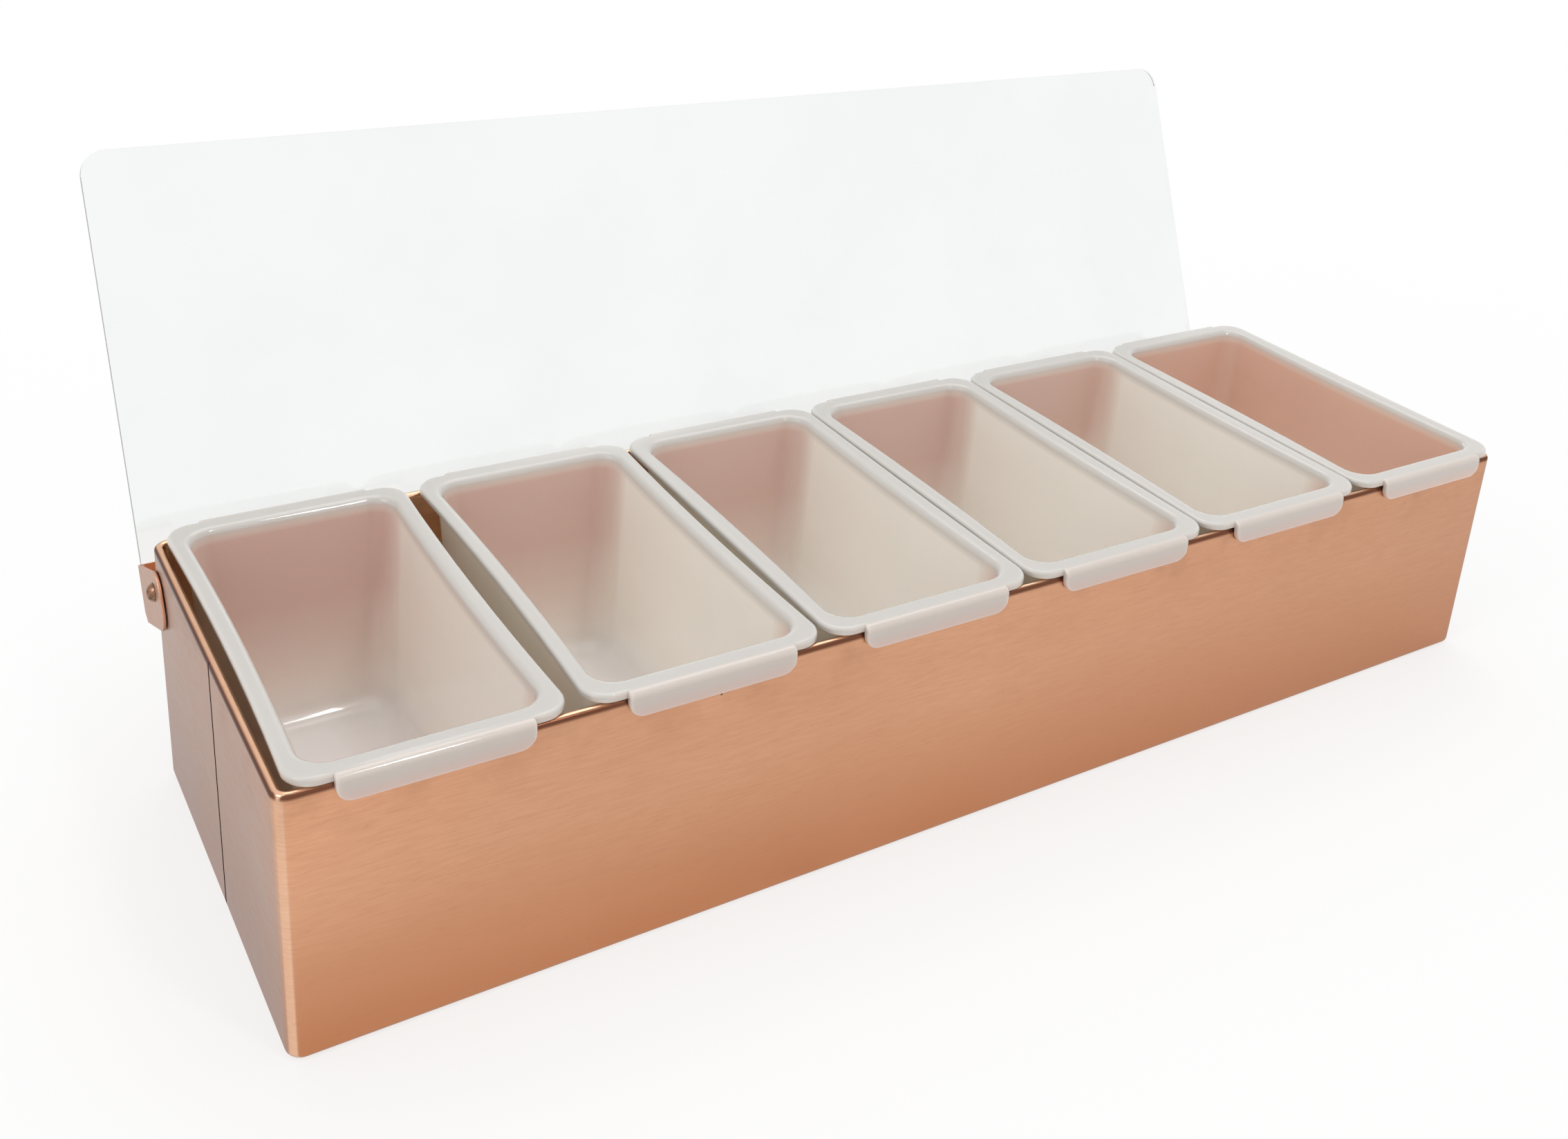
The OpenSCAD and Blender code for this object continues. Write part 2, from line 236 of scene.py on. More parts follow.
copperFinish = {
    "colour": linear(0.85, 0.635, 0.495),
    "deep": linear(0.80, 0.56, 0.42),
    "foot": linear(0.77, 0.505, 0.335),  # painted shade: the lower half darker and deeper, standing for the floor's shadow reflected there
    # painted light: the upper left of the box lighter
    "light": linear(0.93, 0.685, 0.53),
    "paintedEndShade": linear(0.80, 0.785, 0.78),  # painted shade: the ends duller and greyer, for the darker surroundings they reflect
    # painted shade: a dark line along the outer half of the hem's roll
    "hem": linear(0.36, 0.20, 0.145),
    "gap": linear(0.20, 0.10, 0.075),  # painted shadow within the seam's groove
    # painted light: the sheet's inner faces lighter, lifting the shaded gap beside the pans
    "inside": linear(0.94, 0.76, 0.63),
    "tarnish": linear(0.60, 0.42, 0.30),
    "speck": linear(0.36, 0.24, 0.18),
    "edge": linear(0.80, 0.825, 0.835),  # at a glancing view
    "roughness": 0.29,
    "streakRoughness": 0.12,
    "speckRoughness": 0.2,
    "seamRoughness": 0.5,
    "hemPolish": 0.2,
    "lacquer": 0.4,
    "lacquerRoughness": 0.3,
    "dullLacquer": 0.75,  # how much of it is worn off at the ends
    "brushing": 0.5,
    "mottle": {"Size": 0.09},
    "stain": {"Size": 0.016, "Low": 0.47, "High": 0.72},
}
# where each tint comes in, in metres from the middle, above the ground or out from the walls' faces
copperZones = {
    "foot": (0.055, 0.005),
    "stains": (0.066, 0.087),
    "stainsEnd": (0.0885, 0.0878),
    "hem": (0.0872, 0.0882),
    "hemPaintedShade": (0.0895, 0.0891),
    "hemLineInside": (-0.0014, -0.0009),
    "inside": (-0.0005, -0.0008),
    "end": (0.2440, 0.2474),
    "endFront": (-0.0755, -0.045, 0.6, 1.0),
    "ears": (0.0001, 0.0003, 1.0, 0.5),  # they stay brighter
    "left": (-0.18, -0.245, 0.0, 0.7),
    "leftUp": (0.03, 0.08),
    "right": (0.0, 0.25, 0.0, 0.3),
}
copperShares = {
    "end": 0.5,
    "mottle": 0.2, "streaks": 0.28, "scratches": 0.2, "stains": 0.3, "specks": 0.8,
    "hemPaintedShade": 0.9,
    "seamSide": 0.52, "seamDepth": 1.1,  # of the seam's width and depth, to take in its sides
}


def makeCopper(name, stretch):
    material, tree, shader, _ = newMaterial(name)
    c = copperFinish
    zone = copperZones
    share = copperShares
    where = split(tree, objectPlace(tree))
    grain = addEffect(tree, brushedGrain, Stretch=stretch)
    mottle = addEffect(tree, clouds, **c["mottle"])["Mask"]
    stain = addEffect(tree, clouds, **c["stain"])["Mask"]
    spots = addEffect(tree, specks)["Mask"]

    fromMiddle = [calc(tree, "ABSOLUTE", where[axis]) for axis in "XY"]
    outward = calc(tree, "MAXIMUM", *[calc(tree, "SUBTRACT", *pair) for pair in zip(fromMiddle, boxFace)])
    stain = product(tree, stain, remap(tree, where["Z"], *zone["stains"]),
                    remap(tree, where["Z"], *zone["stainsEnd"]))
    hem = remap(tree, where["Z"], *zone["hem"])
    # painted shade on the outer half of the hem's roll
    hemPaintedShade = product(tree, hem, remap(tree, where["Z"], *zone["hemPaintedShade"]),
                      remap(tree, outward, *zone["hemLineInside"]))
    atEnd = product(tree, remap(tree, fromMiddle[0], *zone["end"]),
                    remap(tree, where["Y"], *zone["endFront"]), remap(tree, outward, *zone["ears"]))
    # painted light: lighter towards the upper left
    leftPaintedLight = product(tree, remap(tree, where["X"], *zone["left"]), remap(tree, where["Z"], *zone["leftUp"]))
    aside = calc(tree, "ABSOLUTE", calc(tree, "SUBTRACT", where["Y"], seam["y"]))
    onSeam = product(tree, calc(tree, "LESS_THAN", aside, seam["width"] * share["seamSide"]),
                     calc(tree, "LESS_THAN", where["X"], seam["depth"] * share["seamDepth"] - boxFace[0]))

    colour = c["colour"]
    for mask, tint in (
        # painted shade: darker towards the bottom
        (remap(tree, where["Z"], *zone["foot"]), "foot"),
        (leftPaintedLight, "light"),
        # painted shade: darker towards the right end
        (remap(tree, where["X"], *zone["right"]), "deep"),
        (product(tree, atEnd, share["end"]), "paintedEndShade"),
        # painted light on the inner faces
        (remap(tree, outward, *zone["inside"]), "inside"),
        (product(tree, mottle, share["mottle"]), "deep"),
        (product(tree, grain["Streaks"], share["streaks"]), "deep"),
        (product(tree, grain["Scratches"], share["scratches"]), "tarnish"),
        (product(tree, stain, share["stains"]), "tarnish"),
        (product(tree, spots, share["specks"]), "speck"),
        (product(tree, hemPaintedShade, share["hemPaintedShade"]), "hem"),
        # painted shadow in the seam
        (onSeam, "gap"),
    ):
        colour = blendColour(tree, mask, colour, c[tint])
    wire(tree, colour, shader.inputs["Base Color"])

    rough = c["roughness"]
    for mask, change in ((grain["Streaks"], c["streakRoughness"]), (spots, c["speckRoughness"]),
                         (hem, -c["hemPolish"]), (onSeam, c["seamRoughness"])):
        rough = calc(tree, "ADD", rough, product(tree, mask, change))
    wire(tree, rough, shader.inputs["Roughness"])
    lacquer = calc(tree, "SUBTRACT", c["lacquer"], product(tree, atEnd, c["lacquer"] * c["dullLacquer"]))
    bare = calc(tree, "MAXIMUM", onSeam, hemPaintedShade)
    wire(tree, product(tree, lacquer, calc(tree, "SUBTRACT", 1.0, bare)), shader.inputs["Coat Weight"])
    wire(tree, calc(tree, "SUBTRACT", 1.0, onSeam), shader.inputs["Metallic"])
    wire(tree, grain["Normal"], shader.inputs["Normal"])
    shader.inputs["Specular Tint"].default_value = c["edge"]
    shader.inputs["Anisotropic"].default_value = c["brushing"]
    shader.inputs["Coat Roughness"].default_value = c["lacquerRoughness"]
    return material


panRow = {"centres": (-0.2036, -0.1186, -0.0365, 0.0447, 0.1259, 0.2071), "y": 0.0006, "loose": 2}
milkyFinish = {
    "colour": linear(0.955, 0.935, 0.90),
    "cloud": linear(0.945, 0.925, 0.885),
    # painted light: lighter towards the floor, lifting the shade deep in the pan
    "floor": linear(0.99, 0.975, 0.955),
    "rim": linear(0.76, 0.745, 0.725),  # painted shade: greyer at the rim, which is thinner there, and light leaves it on both sides
    # painted shade: the lips greyer, like the rim
    "lip": linear(0.79, 0.755, 0.725),
    "glow": linear(0.83, 0.71, 0.665),  # painted light: the copper's colour on the pans beside the copper walls, where it comes through
    "warmGlow": linear(0.87, 0.72, 0.645),
    "lipGlow": 0.75,  # the share of the painted copper light on a lip's lower edge
    "haze": {"Size": 0.03, "Low": 0.2, "High": 0.8},
    "roughness": 0.32,
    "hazeRoughness": 0.08,
    "gloss": 0.05,
    "bend": 1.49,
    "depth": 0.003,  # how far light wanders in the plastic
    "spread": (1.0, 0.95, 0.9),
    "through": 0.7,  # the share of a lamp's light that passes each face
    "lightThrough": linear(0.97, 0.95, 0.93),
}
# where each tint comes in, in metres above the ground or from the row's middle
milkyZones = {
    "floor": (0.035, 0.014),
    "rim": (0.087, 0.0915),
    "lip": (0.0757, 0.0763),
    "lipFoot": (0.0890, 0.0840),
    "ends": (0.054, 0.067),
    "outerWalls": (0.220, 0.236),
    "underRim": (0.0912, 0.0870),
    "fadeDown": (0.012, 0.060, 0.2, 1.0),
    "warm": (0.12, 0.23),
}


def makeMilky():
    material, tree, shader, output = newMaterial("milkyPlastic")
    c = milkyFinish
    zone = milkyZones
    haze = addEffect(tree, clouds, **c["haze"])["Mask"]
    where = split(tree, objectPlace(tree))
    endways = calc(tree, "ABSOLUTE", calc(tree, "SUBTRACT", where["Y"], panRow["y"]))
    sideways = calc(tree, "ABSOLUTE", where["X"])
    inside = addNode(tree, "ShaderNodeAttribute", attribute_name="inside").outputs["Fac"]
    # painted light: the copper's colour on the pans' inner faces near the box's walls, and on the lips' lower
    # edges
    nearWall = calc(tree, "MAXIMUM", remap(tree, endways, *zone["ends"]),
                    remap(tree, sideways, *zone["outerWalls"]))
    beside = product(tree, nearWall, remap(tree, where["Z"], *zone["underRim"]),
                     remap(tree, where["Z"], *zone["fadeDown"]), inside)
    onLip = remap(tree, endways, *zone["lip"])
    lipFoot = product(tree, onLip, remap(tree, where["Z"], *zone["lipFoot"]), c["lipGlow"])

    colour = blendColour(tree, haze, c["colour"], c["cloud"])
    colour = blendColour(tree, remap(tree, where["Z"], *zone["floor"]), colour, c["floor"])
    colour = blendColour(tree, remap(tree, where["Z"], *zone["rim"]), colour, c["rim"])
    colour = blendColour(tree, onLip, colour, c["lip"])
    glow = blendColour(tree, remap(tree, where["X"], *zone["warm"]), c["glow"], c["warmGlow"])
    colour = blendColour(tree, calc(tree, "MAXIMUM", beside, lipFoot), colour, glow)
    wire(tree, colour, shader.inputs["Base Color"])
    rough = calc(tree, "ADD", c["roughness"], product(tree, haze, c["hazeRoughness"]))
    wire(tree, rough, shader.inputs["Roughness"])
    letLightThrough(tree, shader, output, c["through"], 0.0, c["lightThrough"])
    shader.inputs["Subsurface Weight"].default_value = 1.0
    shader.inputs["Subsurface Radius"].default_value = c["spread"]
    shader.inputs["Subsurface Scale"].default_value = c["depth"]
    shader.inputs["Coat Weight"].default_value = 1.0
    shader.inputs["Coat Roughness"].default_value = c["gloss"]
    shader.inputs["IOR"].default_value = c["bend"]
    return material


acrylicFinish = {
    "colour": linear(0.965, 0.972, 0.968),
    "cloud": linear(0.955, 0.963, 0.96),
    "cloudSize": 0.06,
    "lightThrough": linear(0.96, 0.965, 0.963),
    "roughness": 0.02,
    "bend": 1.49,
}


def makeAcrylic():
    material, tree, shader, output = newMaterial("clearAcrylic")
    c = acrylicFinish
    haze = addEffect(tree, clouds, Size=c["cloudSize"])["Mask"]
    wire(tree, blendColour(tree, haze, c["colour"], c["cloud"]), shader.inputs["Base Color"])
    letLightThrough(tree, shader, output, 1.0, 1.0, c["lightThrough"])
    shader.inputs["Roughness"].default_value = c["roughness"]
    shader.inputs["Transmission Weight"].default_value = 1.0
    shader.inputs["IOR"].default_value = c["bend"]
    return material


rivetFinish = {
    "colour": linear(0.62, 0.47, 0.38),
    "worn": linear(0.40, 0.29, 0.24),
    "wornSize": 0.003,
    "roughness": 0.25,
    "wornRoughness": 0.15,
}


def makeRivetMetal():
    material, tree, shader, _ = newMaterial("rivetMetal")
    c = rivetFinish
    worn = addEffect(tree, clouds, Size=c["wornSize"])["Mask"]
    wire(tree, blendColour(tree, worn, c["colour"], c["worn"]), shader.inputs["Base Color"])
    rough = calc(tree, "ADD", c["roughness"], product(tree, worn, c["wornRoughness"]))
    wire(tree, rough, shader.inputs["Roughness"])
    shader.inputs["Metallic"].default_value = 1.0
    return material


copper = makeCopper("brushedCopper", (110, 110, 1700))
copperFlat = makeCopper("brushedCopperFlat", (110, 1700, 110))
milky = makeMilky()
acrylic = makeAcrylic()
rivetMetal = makeRivetMetal()
print("finishes made")


def pointPlace(tree):
    return split(tree, addNode(tree, "GeometryNodeInputPosition").outputs[0])


# a strip swept round a rounded rectangle, from one ring to another; a ring is
# (half width, half depth, corner) at a height, pushed out along a radius at an angle
def makeRingStrip():
    ringSockets = [(side + label, kind, None) for side in ("From", "To") for label, kind in (
        ("", "Vector"), (" Height", "Float"), (" Radius", "Float"), (" Angle", "Float"))]
    stepSockets = [("Steps", "Int", 1), ("Corner Steps", "Int", 8), ("Side Steps", "Int", 1)]
    tree, given, result = newTree("ringStrip", "GeometryNodeTree", ringSockets + stepSockets,
                                  [("Strip", "Geometry")])
    perQuarter = calc(tree, "ADD", given["Corner Steps"], given["Side Steps"])
    around = calc(tree, "MULTIPLY", perQuarter, 4)
    grid = addNode(tree, "GeometryNodeMeshGrid", {
        "Size X": 1.0, "Size Y": 1.0,
        "Vertices X": calc(tree, "ADD", around, 1), "Vertices Y": calc(tree, "ADD", given["Steps"], 1)})
    place = pointPlace(tree)
    column = calc(tree, "ROUND", calc(tree, "MULTIPLY", calc(tree, "ADD", place["X"], 0.5), around))
    column = calc(tree, "FLOORED_MODULO", column, around)
    share = calc(tree, "ADD", place["Y"], 0.5)
    quarter = calc(tree, "FLOOR", calc(tree, "DIVIDE", calc(tree, "ADD", column, 0.1), perQuarter))
    step = calc(tree, "SUBTRACT", column, calc(tree, "MULTIPLY", quarter, perQuarter))
    onCorner = calc(tree, "MINIMUM", step, given["Corner Steps"])
    turn = calc(tree, "ADD", quarter, calc(tree, "DIVIDE", onCorner, given["Corner Steps"]))
    turn = calc(tree, "MULTIPLY", turn, math.pi / 2)
    alongSide = calc(tree, "DIVIDE", calc(tree, "SUBTRACT", step, onCorner), given["Side Steps"])
    middle = calc(tree, "MULTIPLY", calc(tree, "ADD", quarter, 0.5), math.pi / 2)
    following = calc(tree, "ADD", middle, math.pi / 2)

    def sideOf(wave):  # the corner's side, sliding to the next corner's along a straight side
        here, there = [calc(tree, "SIGN", calc(tree, wave, angle)) for angle in (middle, following)]
        return calc(tree, "MULTIPLY_ADD", calc(tree, "SUBTRACT", there, here), alongSide, here)

    def between(label):
        span = calc(tree, "SUBTRACT", given["To" + label], given["From" + label])
        return calc(tree, "MULTIPLY_ADD", span, share, given["From" + label])

    span = vectorCalc(tree, "SUBTRACT", given["To"], given["From"])
    ring = split(tree, vectorCalc(tree, "MULTIPLY_ADD", span, share, given["From"]))
    radius = between(" Radius")
    angle = between(" Angle")
    bend = calc(tree, "ADD", ring["Z"], calc(tree, "MULTIPLY", radius, calc(tree, "COSINE", angle)))
    x = calc(tree, "MULTIPLY", sideOf("COSINE"), calc(tree, "SUBTRACT", ring["X"], ring["Z"]))
    y = calc(tree, "MULTIPLY", sideOf("SINE"), calc(tree, "SUBTRACT", ring["Y"], ring["Z"]))
    rise = calc(tree, "MULTIPLY", radius, calc(tree, "SINE", angle))
    position = combine(tree,
                       calc(tree, "ADD", x, calc(tree, "MULTIPLY", bend, calc(tree, "COSINE", turn))),
                       calc(tree, "ADD", y, calc(tree, "MULTIPLY", bend, calc(tree, "SINE", turn))),
                       calc(tree, "ADD", between(" Height"), rise))
    moved = addNode(tree, "GeometryNodeSetPosition", {"Geometry": grid.outputs["Mesh"], "Position": position})
    wire(tree, moved.outputs[0], result["Strip"])
    return tree


tie = 0.000004  # points nearer than this become one
ringStrip = makeRingStrip()


def merged(tree, parts):
    joined = addNode(tree, "GeometryNodeJoinGeometry")
    for part in parts:
        tree.links.new(part, joined.inputs[0])
    return addNode(tree, "GeometryNodeMergeByDistance", {
        "Geometry": joined.outputs[0], "Distance": tie}).outputs[0]


# joins strips given as (ring, height, radius, angle, ring, height, radius, angle, steps)
def joinStrips(tree, strips, cornerSteps, sideSteps=1):
    parts = []
    for values in strips:
        strip = addNode(tree, "GeometryNodeGroup", node_tree=ringStrip)
        for socket, value in zip(strip.inputs, list(values) + [cornerSteps, sideSteps]):
            wire(tree, value, socket)
        parts.append(strip.outputs[0])
    return merged(tree, parts)


def endTree(tree, geometry, material, result):
    solid = addNode(tree, "GeometryNodeRealizeInstances", {"Geometry": geometry}).outputs[0]
    coated = addNode(tree, "GeometryNodeSetMaterial", {"Geometry": solid, "Material": material})
    wire(tree, coated.outputs[0], result)


def runTree(name, tree, sizes):
    holder = bpy.data.objects.new(name, bpy.data.meshes.new(name))
    scene.collection.objects.link(holder)
    modifier = holder.modifiers.new("shape", "NODES")
    modifier.node_group = tree
    sockets = {item.name: item.identifier for item in tree.interface.items_tree if item.in_out == "INPUT"}
    for label, value in sizes.items():
        modifier[sockets[label]] = value
    holder.update_tag()
    return bakeObject(holder, name)


def bakeObject(holder, name):
    bpy.context.view_layer.update()
    mesh = bpy.data.meshes.new_from_object(holder.evaluated_get(bpy.context.evaluated_depsgraph_get()))
    mesh.name = name
    bpy.data.objects.remove(holder)
    return mesh


# faces broader than a width stay flat, and edges sharper than an angle stay sharp
def cleanMesh(mesh, smoothAngle=35, broad=10.0):
    work = bmesh.new()
    work.from_mesh(mesh)
    bmesh.ops.remove_doubles(work, verts=work.verts, dist=tie)
    bmesh.ops.dissolve_degenerate(work, edges=work.edges, dist=tie / 2)
    bmesh.ops.recalc_face_normals(work, faces=work.faces)
    for face in work.faces:
        face.smooth = face.calc_area() < broad * max(edge.calc_length() for edge in face.edges)
    for edge in work.edges:
        sharp = len(edge.link_faces) == 2 and edge.calc_face_angle(0) > math.radians(smoothAngle)
        edge.smooth = not sharp
    work.to_mesh(mesh)
    work.free()
    return mesh


def addPiece(name, mesh, body, node, material=None):
    piece = bpy.data.objects.new(name, mesh)
    scene.collection.objects.link(piece)
    if material:
        mesh.materials.clear()
        mesh.materials.append(material)
        for face in mesh.polygons:  # a boolean leaves some faces on a slot of their own
            face.material_index = 0
    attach(piece, body)
    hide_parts(node)


def boolean(mesh, other, how, name):
    holder = bpy.data.objects.new(name, mesh)
    tool = bpy.data.objects.new(name + "Tool", other)
    for item in (holder, tool):
        scene.collection.objects.link(item)
    modifier = holder.modifiers.new("cut", "BOOLEAN")
    modifier.operation = how
    modifier.solver = "EXACT"
    modifier.object = tool
    made = bakeObject(holder, name)
    bpy.data.objects.remove(tool)
    return made


def boxMesh(name, low, high):
    mesh = bpy.data.meshes.new(name)
    corners = [(x, y, z) for x in (low[0], high[0]) for y in (low[1], high[1]) for z in (low[2], high[2])]
    faces = [(0, 1, 3, 2), (4, 6, 7, 5), (0, 4, 5, 1), (2, 3, 7, 6), (0, 2, 6, 4), (1, 5, 7, 3)]
    mesh.from_pydata(corners, [], faces)
    return mesh


# the copper box: one sheet with a rolled hem, a rounded foot and a turned-in flange
def makeWrapTree():
    inputs = floatInputs(wrapSizes) + [("Corner Steps", "Int", 10), ("Material", "Material", None)]
    tree, given, result = newTree("sheetWrap", "GeometryNodeTree", inputs, [("Wrap", "Geometry")])
    halfLength = calc(tree, "MULTIPLY", given["Length"], 0.5)
    halfDepth = calc(tree, "MULTIPLY", given["Depth"], 0.5)
    sheet = given["Sheet"]
    hem = given["Hem Radius"]
    foot = given["Foot Radius"]

    def ring(inset, corner=None):
        corner = calc(tree, "SUBTRACT", given["Corner"], inset) if corner is None else corner
        halves = [calc(tree, "SUBTRACT", half, inset) for half in (halfLength, halfDepth)]
        return combine(tree, *halves, corner)

    outside = ring(0.0)
    inside = ring(sheet)
    hemRing = ring(hem)
    footRing = ring(foot)
    hemWide = calc(tree, "MULTIPLY", hem, 2.0)
    foldIn = ring(hemWide)
    foldOut = ring(calc(tree, "SUBTRACT", hemWide, sheet))
    flangeEnd = ring(given["Flange"], given["Corner"])
    hemZ = calc(tree, "SUBTRACT", given["Height"], hem)
    foldZ = calc(tree, "SUBTRACT", hemZ, given["Hem Fold"])
    hemBore = calc(tree, "SUBTRACT", hem, sheet)
    footBore = calc(tree, "SUBTRACT", foot, sheet)
    up = math.pi
    down = -math.pi / 2
    strips = [
        (outside, foot, 0.0, 0.0, outside, hemZ, 0.0, 0.0, 6),
        (hemRing, hemZ, hem, 0.0, hemRing, hemZ, hem, up, 14),
        (foldIn, hemZ, 0.0, 0.0, foldIn, foldZ, 0.0, 0.0, 1),
        (foldIn, foldZ, 0.0, 0.0, foldOut, foldZ, 0.0, 0.0, 1),
        (foldOut, foldZ, 0.0, 0.0, foldOut, hemZ, 0.0, 0.0, 1),
        (hemRing, hemZ, hemBore, up, hemRing, hemZ, hemBore, 0.0, 8),
        (inside, hemZ, 0.0, 0.0, inside, foot, 0.0, 0.0, 6),
        (footRing, foot, footBore, 0.0, footRing, foot, footBore, down, 5),
        (footRing, sheet, 0.0, 0.0, flangeEnd, sheet, 0.0, 0.0, 1),
        (flangeEnd, sheet, 0.0, 0.0, flangeEnd, 0.0, 0.0, 0.0, 1),
        (flangeEnd, 0.0, 0.0, 0.0, footRing, 0.0, 0.0, 0.0, 1),
        (footRing, foot, foot, down, footRing, foot, foot, 0.0, 8),
    ]
    endTree(tree, joinStrips(tree, strips, given["Corner Steps"]), given["Material"], result["Wrap"])
    return tree


def makeCopperBox():
    mesh = cleanMesh(runTree("copperBox", makeWrapTree(), {"Material": copper, **wrapSizes}))
    low = (-boxFace[0] - seam["past"], seam["y"] - seam["width"] / 2, wrapSizes["Foot Radius"])
    high = (-boxFace[0] + seam["depth"], seam["y"] + seam["width"] / 2,
            wrapSizes["Height"] - wrapSizes["Hem Radius"])
    return cleanMesh(boolean(mesh, boxMesh("groove", low, high), "DIFFERENCE", "copperBox"))


wrapMesh = makeCopperBox()
addPiece("copperBox", wrapMesh, "box", "body_wrap", copper)
print("copper box made:", len(wrapMesh.polygons), "faces")


# the pans: a leaning tub with a soft mouth, a flat rim and a hooked lip at each end
panSizes = {
    "Rim Width": 0.0808, "Rim Length": 0.1528, "Rim Corner": 0.009,
    "Rim Top": 0.0926, "Rim Thickness": 0.0028,
    "Edge Round": 0.0012, "Edge Round Below": 0.0007,
    "Mouth Width": 0.0692, "Mouth Length": 0.1388, "Mouth Corner": 0.0085, "Mouth Round": 0.0026,
    "Wall": 0.002, "Wall Lean": math.atan(0.004 / 0.0806),
    "Floor Height": 0.012, "Floor Thickness": 0.0022, "Floor Round": 0.008, "Floor Corner": 0.002,
    "Mouth Bow": 0.0018, "Rim Bow": 0.0018,  # how far the long sides draw in between the ends
}
closeRimBow = 0.0003  # on the pans that stand rim to rim
panCrease = 38  # degrees past which an edge stays sharp
lipSizes = {
    "width": 0.0564, "height": 0.0089, "thickness": 0.0022, "corner": 0.005, "round": 0.0008,
    "root": 0.004,  # how far it reaches in over the rim
    "toe": 0.0009, "heel": 0.0004, "least": 0.0001,  # the rounds of its lower edge, outside and inside
    "drop": 0.00001,  # from the rim's own face to its top, so that the two never tie
    "lap": 0.0002,  # from the rim's underside up to its own
}


def makePanTree():
    inputs = floatInputs(panSizes) + [
        ("Corner Steps", "Int", 12), ("Side Steps", "Int", 8), ("Material", "Material", None)]
    tree, given, result = newTree("milkyPan", "GeometryNodeTree", inputs, [("Pan", "Geometry")])

    def ringOf(kind, offset, corner=None):
        halves = [calc(tree, "MULTIPLY_ADD", given[kind + side], 0.5, offset)
                  for side in (" Width", " Length")]
        corner = calc(tree, "ADD", given[kind + " Corner"], offset) if corner is None else corner
        return combine(tree, *halves, corner)

    def less(a, b):
        return calc(tree, "SUBTRACT", a, b)

    def minus(value):
        return calc(tree, "MULTIPLY", value, -1.0)

    top = given["Rim Top"]
    lean = given["Wall Lean"]
    slope, cosine, sine = [calc(tree, name, lean) for name in ("TANGENT", "COSINE", "SINE")]
    leanDown = minus(lean)
    under = less(top, given["Rim Thickness"])

    def floorRound(grow, bottom, radius):  # offset and height of a floor round's centre
        height = calc(tree, "ADD", bottom, radius)
        fall = calc(tree, "MULTIPLY", less(top, height), slope)
        return less(less(grow, fall), calc(tree, "DIVIDE", radius, cosine)), height

    inRadius = given["Floor Round"]
    inOffset, inHeight = floorRound(0.0, given["Floor Height"], inRadius)
    outRadius = calc(tree, "ADD", inRadius, given["Wall"])
    bottom = less(given["Floor Height"], given["Floor Thickness"])
    outOffset, outHeight = floorRound(given["Wall"], bottom, outRadius)
    soft = given["Mouth Round"]
    softBack = minus(soft)
    softOffset = calc(tree, "DIVIDE", calc(tree, "MULTIPLY", soft, less(1.0, sine)), cosine)
    softRing = ringOf("Mouth", softOffset)
    softHeight = less(top, soft)
    edge = given["Edge Round"]
    below = given["Edge Round Below"]
    edgeRing = ringOf("Rim", minus(edge))
    belowRing = ringOf("Rim", minus(below))
    edgeHeight = less(top, edge)
    belowHeight = calc(tree, "ADD", under, below)
    rimRing = ringOf("Rim", 0.0)
    pole = (0.0, 0.0, 0.0)
    inRing, outRing = [ringOf("Mouth", offset, given["Floor Corner"]) for offset in (inOffset, outOffset)]
    wallTop = ringOf("Mouth", less(given["Wall"], calc(tree, "MULTIPLY", given["Rim Thickness"], slope)))
    quarter = math.pi / 2
    innerStrips = [
        (pole, given["Floor Height"], 0.0, 0.0, inRing, given["Floor Height"], 0.0, 0.0, 1),
        (inRing, inHeight, inRadius, -quarter, inRing, inHeight, inRadius, leanDown, 10),
        (inRing, inHeight, inRadius, leanDown, softRing, softHeight, softBack, leanDown, 4),
        (softRing, softHeight, softBack, leanDown, softRing, softHeight, softBack, -quarter, 8),
        (softRing, top, 0.0, 0.0, edgeRing, top, 0.0, 0.0, 1),
    ]
    outerStrips = [
        (edgeRing, edgeHeight, edge, quarter, edgeRing, edgeHeight, edge, 0.0, 6),
        (rimRing, edgeHeight, 0.0, 0.0, rimRing, belowHeight, 0.0, 0.0, 1),
        (belowRing, belowHeight, below, 0.0, belowRing, belowHeight, below, -quarter, 4),
        (belowRing, under, 0.0, 0.0, wallTop, under, 0.0, 0.0, 1),
        (wallTop, under, 0.0, leanDown, outRing, outHeight, outRadius, leanDown, 3),
        (outRing, outHeight, outRadius, leanDown, outRing, outHeight, outRadius, -quarter, 8),
        (outRing, bottom, 0.0, 0.0, pole, bottom, 0.0, 0.0, 1),
    ]
    inner, outer = [joinStrips(tree, strips, given["Corner Steps"], given["Side Steps"])
                    for strips in (innerStrips, outerStrips)]
    marked = addNode(tree, "GeometryNodeStoreNamedAttribute", {
        "Geometry": inner, "Name": "inside", "Value": 1.0}, data_type="FLOAT", domain="POINT")
    shell = merged(tree, (marked.outputs[0], outer))

    place = pointPlace(tree)
    halfMouth, halfRim = [calc(tree, "MULTIPLY", given[kind + " Width"], 0.5) for kind in ("Mouth", "Rim")]
    reach = calc(tree, "ABSOLUTE", place["X"])
    change = less(given["Rim Bow"], given["Mouth Bow"])
    inward = calc(tree, "ADD", remap(tree, reach, 0.0, halfMouth, 0.0, given["Mouth Bow"]),
                  remap(tree, reach, halfMouth, halfRim, 0.0, change))
    endwise = calc(tree, "DIVIDE", place["Y"], calc(tree, "MULTIPLY", given["Rim Length"], 0.5))
    inward = product(tree, inward, less(1.0, product(tree, endwise, endwise)), calc(tree, "SIGN", place["X"]))
    bowed = addNode(tree, "GeometryNodeSetPosition", {
        "Geometry": shell, "Offset": combine(tree, minus(inward))}).outputs[0]
    endTree(tree, bowed, given["Material"], result["Pan"])
    return tree


